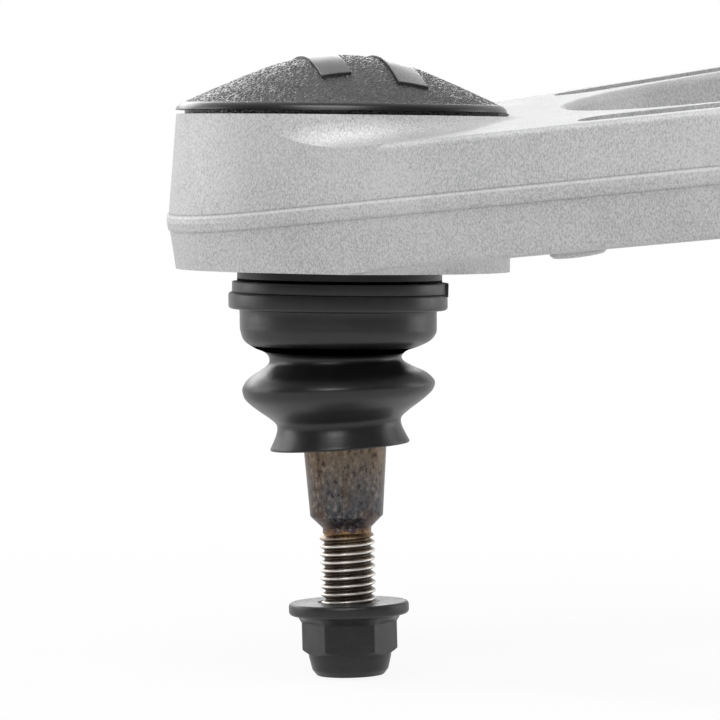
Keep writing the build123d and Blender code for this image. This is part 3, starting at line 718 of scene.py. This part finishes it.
def buildCapBars():
    # Each bar is a flat-topped section, carried along its length over domeHeight: at each station the section
    # stands on the dome's own surface, and shrinks over the last stations so that the ends are round too.
    half, proud, edge = capBars["width"] / 2, capBars["proud"], capBars["edge"]
    foot, steps, between = -capBars["sunk"], capBars["edgeSteps"], capBars["stations"]
    side = roundedLine([(half, foot), (half, proud), (-half, proud), (-half, foot)], [edge, edge], steps)
    first, last = side[:steps + 1], side[steps + 1:]
    section = np.vstack([first, np.linspace(first[-1], last[0], 24)[1:-1], last, first[:1]])
    turn = np.linspace(0, np.pi / 2, steps + 1)
    ends = capBars["halfLength"] - edge + edge * np.sin(turn)
    stations = np.concatenate([-ends[::-1], np.linspace(-ends[0], ends[0], between + 2)[1:-1], ends])
    drop = edge * (1 - np.cos(turn))
    fall = np.concatenate([drop[::-1], np.zeros(between), drop])[:, None]
    across = section[None, :, 0] * (1 - fall / half)
    along = np.broadcast_to(stations[:, None], across.shape)
    height = section[None, :, 1]
    rise = np.where(height > 0, np.maximum(height - fall, 0), height)
    angle = np.radians(capBars["slant"])
    for number, middle in enumerate(capBars["middles"]):
        x = middle + across * np.cos(angle) - along * np.sin(angle)
        y = across * np.sin(angle) + along * np.cos(angle)
        bar = np.stack([x, y, domeHeight(np.hypot(x, y)) + rise], axis=-1)
        piece = gridMesh(f"capBar{number + 1}", closedEnds(bar), barPlastic, 45)
        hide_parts("dust_cap")
        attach(piece, "arm")


buildDustCap()
buildCapBars()
print("Stage 4: the dust cap is on")


# Boot: rim bead, straight upper wall, one fold and the lip round the stud

boot = {
    "beadRadius": 23.85,
    "beadBottom": -13.9,
    "columns": 180,
    # heights, and how far the boot's middle line and its tilt have gone there
    "middleHeights": (-45.0, -39.0, -31.0, -24.5, -19.0, -10.0),
    "middleOffsets": (0.50, 0.20, 0.05, -0.74, -0.15, -0.35),
    "middleTilts": (4.5, 4.4, 3.3, 1.9, 0.2, 0.0),
}


def bootProfile():
    # Outside of the boot from the rim down, then round the lip and up the inside.
    bead, low = boot["beadRadius"], boot["beadBottom"]
    rim = roundedLine([(21.0, -10.2), (bead, -10.35), (bead, low), (21.5, -14.1), (21.45, -15.2)],
                      [0.7, 0.75, 0.25], 6)
    wall = smoothLine([
        (21.45, -15.2), (21.45, -17.2), (21.3, -18.9), (20.3, -20.7), (18.0, -22.1), (15.5, -23.1),
        (14.45, -24.3), (14.75, -25.5), (16.6, -26.8), (19.2, -28.2), (20.75, -29.9), (20.95, -31.2),
        (20.2, -32.8), (17.9, -34.8), (15.4, -36.6), (13.8, -38.0), (13.5, -39.1), (13.75, -40.3),
        (14.4, -41.8), (15.15, -43.3),
    ], 7)
    lip = roundedLine([(15.15, -43.3), (15.3, -43.85), (9.6, -43.7), (9.6, -38.5), (11.7, -37.6)],
                      [0.3, 0.3, 0.3], 5)
    inner = smoothLine([
        (11.7, -37.6), (14.4, -35.2), (17.8, -32.7), (19.1, -30.8), (17.6, -28.9), (14.2, -26.8),
        (12.9, -24.7), (14.1, -22.7), (17.4, -21.2), (19.5, -19.4), (20.0, -16.6), (20.2, -14.6),
        (21.0, -14.5), (21.0, -10.2),
    ], 4)
    return np.vstack([rim, wall[1:], lip[1:], inner[1:]])


def keepHeights(piece):
    # Each point's height at rest stays on the mesh, so that the dark in the fold goes with the bent boot.
    mesh = piece.data
    place = np.empty(len(mesh.vertices) * 3, np.float32)
    mesh.vertices.foreach_get("co", place)
    heights = mesh.attributes.new(foldShade["attribute"], "FLOAT", "POINT")
    heights.data.foreach_set("value", place[2::3])


def buildBoot():
    # The profile is turned about a middle line that bends towards the legs: at each height the ring is moved
    # by middleOffsets and tipped by middleTilts.
    profile = bootProfile()
    angle = np.linspace(0, 2 * np.pi, boot["columns"] + 1)
    radius, height = profile[:, :1], profile[:, 1:]
    offset = np.interp(height, boot["middleHeights"], boot["middleOffsets"])
    tilt = np.radians(np.interp(height, boot["middleHeights"], boot["middleTilts"]))
    x = offset + radius * np.cos(angle) * np.cos(tilt)
    y = radius * np.sin(angle)
    z = height + radius * np.cos(angle) * np.sin(tilt)
    piece = gridMesh("bootBellows", np.stack([x, y, z], axis=-1), bootRubber, 60)
    keepHeights(piece)
    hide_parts("dust_boot")
    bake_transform(piece)


retainingRing = {
    "outerRadius": 23.4,
    "wall": 0.6,
    "top": -8.0,
    "bottom": -10.4,
    "tailAngle": -12.0,     # where the turned-out end stands, from the X axis
    "gap": 7.0,             # degrees between the two ends
    "tailLength": 4.0,      # degrees
    "tailFlare": 0.45,      # outwards at its end, and the share by which it is taller there
    "tailGrowth": 0.3,
    "jagDepth": 0.3,        # its teeth, outwards and upwards
    "jagRise": 0.2,
}


def buildRetainingRing():
    # A rounded flat section carried round the boot. Over the tail a share, last, goes from 0 to 1: the strip
    # turns outwards by its power 1.5, grows taller in proportion to it, and gets a jagged end from the sines
    # of 14 and of 17 times last, each multiplied by last.
    outer, wall = retainingRing["outerRadius"], retainingRing["wall"]
    low, high = retainingRing["bottom"], retainingRing["top"]
    section = roundedLine([(0, low), (wall, low), (wall, high), (0, high), (0, low)], [0.2, 0.2, 0.1], 4)
    tail, length = retainingRing["tailAngle"], np.radians(retainingRing["tailLength"])
    angle = np.radians(np.linspace(tail + retainingRing["gap"], tail + 360, 300))[:, None]
    last = np.clip((angle - angle[-1] + length) / length, 0, 1)
    flare = retainingRing["tailFlare"] * last**1.5
    jag = retainingRing["jagDepth"] * last * np.sin(last * 14 + section[None, :, 1] * 3)
    radius = outer - wall + section[None, :, 0] + flare + jag
    middle = (low + high) / 2
    height = middle + (section[None, :, 1] - middle) * (1 + retainingRing["tailGrowth"] * last)
    height = height + retainingRing["jagRise"] * last * np.sin(last * 17)
    piece = gridMesh("bootStrap", closedEnds(aboutAxis(radius, angle, height)), ringSteel, 40)
    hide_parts("boot_retaining_ring")
    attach(piece, "arm")


buildBoot()
buildRetainingRing()
print("Stage 5: the boot and its strap are on")


# Stud: ball, neck, taper and a real helical thread

stud = {
    "ballRadius": 15.0,
    "ballFlat": 13.2,
    "neckRadius": 7.5,
    "taperLarge": 9.2,
    "taperStart": -41.5,
    "taperSmall": 7.93,
    "taperEnd": -58.9,
    "reliefRadius": 5.3,
    "threadStart": -62.6,
    "threadRadius": 6.0,
    "rootRadius": 5.02,
    "pitch": 1.75,
    "rootShare": 0.16,      # the root's flat and both flanks, as shares of the pitch
    "flankShare": 0.66,
    "end": -90.6,
    "columns": 120,
    "threadRows": 330,
}


def threadRadius(angle, height):
    # A right-hand thread: height / pitch minus the share of a turn says how far a point lies between two
    # crests, which makes a wave from 0 in a root to 1 on a crest. The flanks are straight from the flat root
    # up to a narrow flat crest. Both ends run out along a cone.
    phase = height / stud["pitch"] - angle / (2 * np.pi)
    wave = np.abs(2 * (phase - np.floor(phase)) - 1)
    flank = np.clip((wave - stud["rootShare"]) / stud["flankShare"], 0, 1)
    radius = stud["rootRadius"] + (stud["threadRadius"] - stud["rootRadius"]) * flank
    entry = stud["reliefRadius"] + (stud["threadStart"] - height) * 0.9
    leaving = stud["threadRadius"] - 1.0 + (height - stud["end"])
    return np.minimum(np.minimum(radius, entry), leaving)


def buildStud():
    # Rows of the plain part come from its outline, turned about the axis. Rows of the thread have a radius
    # that changes with the angle as well. The last row closes on the axis.
    ball, flat, neck = stud["ballRadius"], stud["ballFlat"], stud["neckRadius"]
    low = -np.sqrt(ball**2 - neck**2)
    turn = np.linspace(np.arcsin(flat / ball), np.arcsin(low / ball), 26)
    sphere = np.stack([ball * np.cos(turn), ball * np.sin(turn)], axis=-1)
    shank = roundedLine([
        (neck, low), (neck, -24.0), (stud["taperLarge"], -30.0), (stud["taperLarge"], stud["taperStart"]),
        (stud["taperSmall"], stud["taperEnd"]), (stud["reliefRadius"], -61.5),
        (stud["reliefRadius"], stud["threadStart"]),
    ], [2.0, 1.0, 6.0, 0.35, 0.5], 5)
    plain = np.vstack([[(0, flat)], [(sphere[0, 0] - 0.5, flat)], sphere, shank[1:]])
    columns = stud["columns"]
    angle = np.linspace(0, 2 * np.pi, columns + 1)[None, :]
    body = aboutAxis(plain[:, :1], angle, plain[:, 1:])
    height = np.linspace(stud["threadStart"], stud["end"], stud["threadRows"])[1:, None]
    thread = aboutAxis(threadRadius(angle, height), angle, height)
    close = np.broadcast_to([0, 0, stud["end"]], (1, columns + 1, 3))
    points = leaned(np.vstack([body, thread, close]), studLean)
    piece = gridMesh("threadedStud", points, studSteel, 55)
    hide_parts("ball_stud")
    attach(piece, "stud")


nut = {
    "top": -77.7,
    "flangeRadius": 13.1,
    "flangeBottom": -80.3,
    "halfAcross": 9.1,      # from the axis to a flat
    "hexBottom": -89.0,
    "collarRadius": 9.05,
    "collarEnd": 8.3,
    "bottom": -93.7,
    "bore": 6.05,
    "cornerLimit": 10.38,
    "beyond": 30.0,         # further out than the hexagon anywhere
    "columns": 288,
}


def hexRadius(angle):
    # Distance from the axis to a hexagon's side: half the width across flats over the cosine of the angle
    # from the middle of that side. Its corners are slightly rounded off.
    away = np.mod(angle, np.pi / 3) - np.pi / 6
    return softMin(nut["halfAcross"] / np.cos(away), nut["cornerLimit"], 0.12)


def buildNut():
    # Each row has a lowest and a highest radius, and the hexagon fills what lies between: where both are the
    # same the nut is round, on the cone under the flange the hexagon may stand out, and at the chamfer it may
    # not.
    top, flange, half = nut["top"], nut["flangeRadius"], nut["halfAcross"]
    bore, bottom, collar, beyond = nut["bore"], nut["bottom"], nut["collarEnd"], nut["beyond"]
    steps = 7
    upper = roundedLine([
        (bore, top - 1.4), (bore, top - 0.9), (6.85, top), (flange, top), (flange, nut["flangeBottom"]),
        (11.4, nut["flangeBottom"] - 0.35), (half - 0.3, -82.2),
    ], [0.3, 0.3, 0.85, 0.85, 1.2], steps)
    lower = roundedLine([
        (half + 1.5, -88.0), (half - 0.05, nut["hexBottom"]), (nut["collarRadius"] - 0.1, -89.7),
        (collar, bottom + 1.3), (collar - 1.0, bottom), (6.9, bottom), (6.9, bottom + 0.5),
        (bore + 1.3, bottom + 0.5), (bore + 1.3, -90.6), (bore, -90.6), (bore, top - 1.4),
    ], [0.15, 0.2, 1.0, 0.5, 0.15, 0.05, 0.05, 0.05, 0.05], 6)[1:]
    chamfer = np.linspace((half + 1.5, -87.9), (half - 0.05, nut["hexBottom"]), 16)
    sides = np.linspace((beyond, -82.3), (beyond, -87.85), 12)
    rows = np.vstack([upper, sides, chamfer, lower])
    onCone = np.arange(len(upper)) >= len(upper) - steps - 1    # the last arc and the point after it
    lowest = np.concatenate([upper[:, 0], np.zeros(len(sides) + len(chamfer)), lower[:, 0]])
    highest = np.concatenate([np.where(onCone, beyond, upper[:, 0]), sides[:, 0], chamfer[:, 0], lower[:, 0]])
    angle = np.linspace(0, 2 * np.pi, nut["columns"] + 1)[None, :]
    radius = np.clip(hexRadius(angle), lowest[:, None], np.maximum(highest, lowest)[:, None])
    grid = aboutAxis(radius, angle, rows[:, 1:])
    piece = gridMesh("flangedNut", leaned(grid, studLean), nutSteel, 32)
    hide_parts("stud_nut")
    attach(piece, "stud")


buildStud()
buildNut()
print("Stage 6: the stud and its nut are in")


# Studio: pale floor, soft lamps, white surroundings

studio = {
    "floorHeight": -94.3,
    "floorSize": 8.0,           # metres
    "floorWhite": 0.92,         # share of plain white where the object stands, and all of it further out
    "floorFade": (0.12, 0.40),  # metres from the ball's centre
    "worldGrey": 0.15,
    "roomTurn": (-0.1, 0.5),    # how far back a mirrored direction points where the white begins and is full
    # each lamp's place, its width and height, all in metres, and its watts
    "lamps": {
        "topLamp": ((-0.1, -0.35, 0.9), (0.55, 0.4), 6.0),
        "frontLamp": ((-0.25, -1.1, 0.75), (0.5, 0.4), 6.0),
        "leftLamp": ((-0.95, 0.3, 0.15), (0.5, 0.9), 3.4),
        "rightLamp": ((0.95, 0.3, 0.15), (0.5, 0.9), 2.7),
        "backLamp": ((-0.35, 1.1, 0.45), (1.2, 0.35), 5.4),
    },
}


def paleFloor():
    # The camera, and what mirrors the floor, see it almost white, and its own lit part keeps the shadow. That
    # fades out between the two distances of floorFade.
    material, tree, shader = newMaterial("paleFloor")
    tree.nodes.remove(shader)
    grain = noise(tree, position(tree), 30.0, 2.0, 0.5)
    colour = ramp(tree, grain, [(0.3, 0.80), (0.7, 0.82)])
    lit = addNode(tree, "ShaderNodeBsdfDiffuse", Color=colour)
    white = addNode(tree, "ShaderNodeEmission", Color=(1, 1, 1, 1), Strength=1.0)
    path = addNode(tree, "ShaderNodeLightPath")
    seen = combine(tree, "MAXIMUM", path.outputs["Is Camera Ray"], path.outputs["Is Glossy Ray"])
    seen = combine(tree, "MAXIMUM", seen, path.outputs["Is Transmission Ray"])
    away = vector(tree, "LENGTH", position(tree))["Value"]
    near, far = studio["floorFade"]
    share = combine(tree, "MULTIPLY", seen, spread(tree, away, near, far, studio["floorWhite"], 1.0))
    mixed = addNode(tree, "ShaderNodeMixShader", Fac=share)
    tree.links.new(lit.outputs["BSDF"], mixed.inputs[1])
    tree.links.new(white.outputs["Emission"], mixed.inputs[2])
    tree.links.new(mixed.outputs["Shader"], tree.nodes["Material Output"].inputs["Surface"])
    return material


def addFloor():
    # A flat square far larger than the view, worked out as a grid of four points.
    size, height = studio["floorSize"] / mm, studio["floorHeight"]
    x, y = np.meshgrid([-size / 2, size / 2], [-size / 2, size / 2], indexing="ij")
    corners = np.stack([x, y, np.full_like(x, height)], axis=-1)
    floor = gridMesh("studioFloor", corners, paleFloor(), outward=False)


def addLamp(name, place, size, watts):
    # A soft four-sided lamp that faces the ball's centre.
    data = bpy.data.lights.new(name, "AREA")
    data.shape = "RECTANGLE"
    data.size, data.size_y = size
    data.energy = watts
    lamp = bpy.data.objects.new(name, data)
    lamp.matrix_world = Matrix.Translation(place) @ vectorAim(-np.array(place, float))
    bpy.context.scene.collection.objects.link(lamp)


def vectorAim(direction):
    # A turn that brings a lamp's own -Z onto the direction.
    z = -direction / np.linalg.norm(direction)
    x = np.cross([0.0, 0.0, 1.0], z)
    x /= np.linalg.norm(x)
    y = np.cross(z, x)
    return Matrix([[x[0], y[0], z[0], 0], [x[1], y[1], z[1], 0], [x[2], y[2], z[2], 0], [0, 0, 0, 1]])


def addWorld():
    # Even grey light all round. The camera sees plain white, and what mirrors the room sees white behind the
    # object and grey behind the camera.
    world = bpy.data.worlds.new("studioWorld")
    world.use_nodes = True
    tree = world.node_tree
    light = tree.nodes["Background"]
    light.inputs["Color"].default_value = (1, 1, 1, 1)
    path = addNode(tree, "ShaderNodeLightPath")
    way = addNode(tree, "ShaderNodeTexCoord").outputs["Generated"]
    behind = addNode(tree, "ShaderNodeSeparateXYZ", Vector=way).outputs["Y"]
    behind = spread(tree, behind, *studio["roomTurn"])
    mirrored = combine(tree, "MULTIPLY", path.outputs["Is Glossy Ray"], behind)
    seen = combine(tree, "MAXIMUM", path.outputs["Is Camera Ray"], path.outputs["Is Transmission Ray"])
    seen = combine(tree, "MAXIMUM", seen, mirrored)
    link(tree, spread(tree, seen, 0, 1, studio["worldGrey"], 1.0), light, "Strength")
    bpy.context.scene.world = world


addFloor()
for lampName, (place, size, watts) in studio["lamps"].items():
    addLamp(lampName, place, size, watts)
addWorld()
bpy.context.scene.view_settings.view_transform = "Standard"
print("Stage 7: the studio is lit")
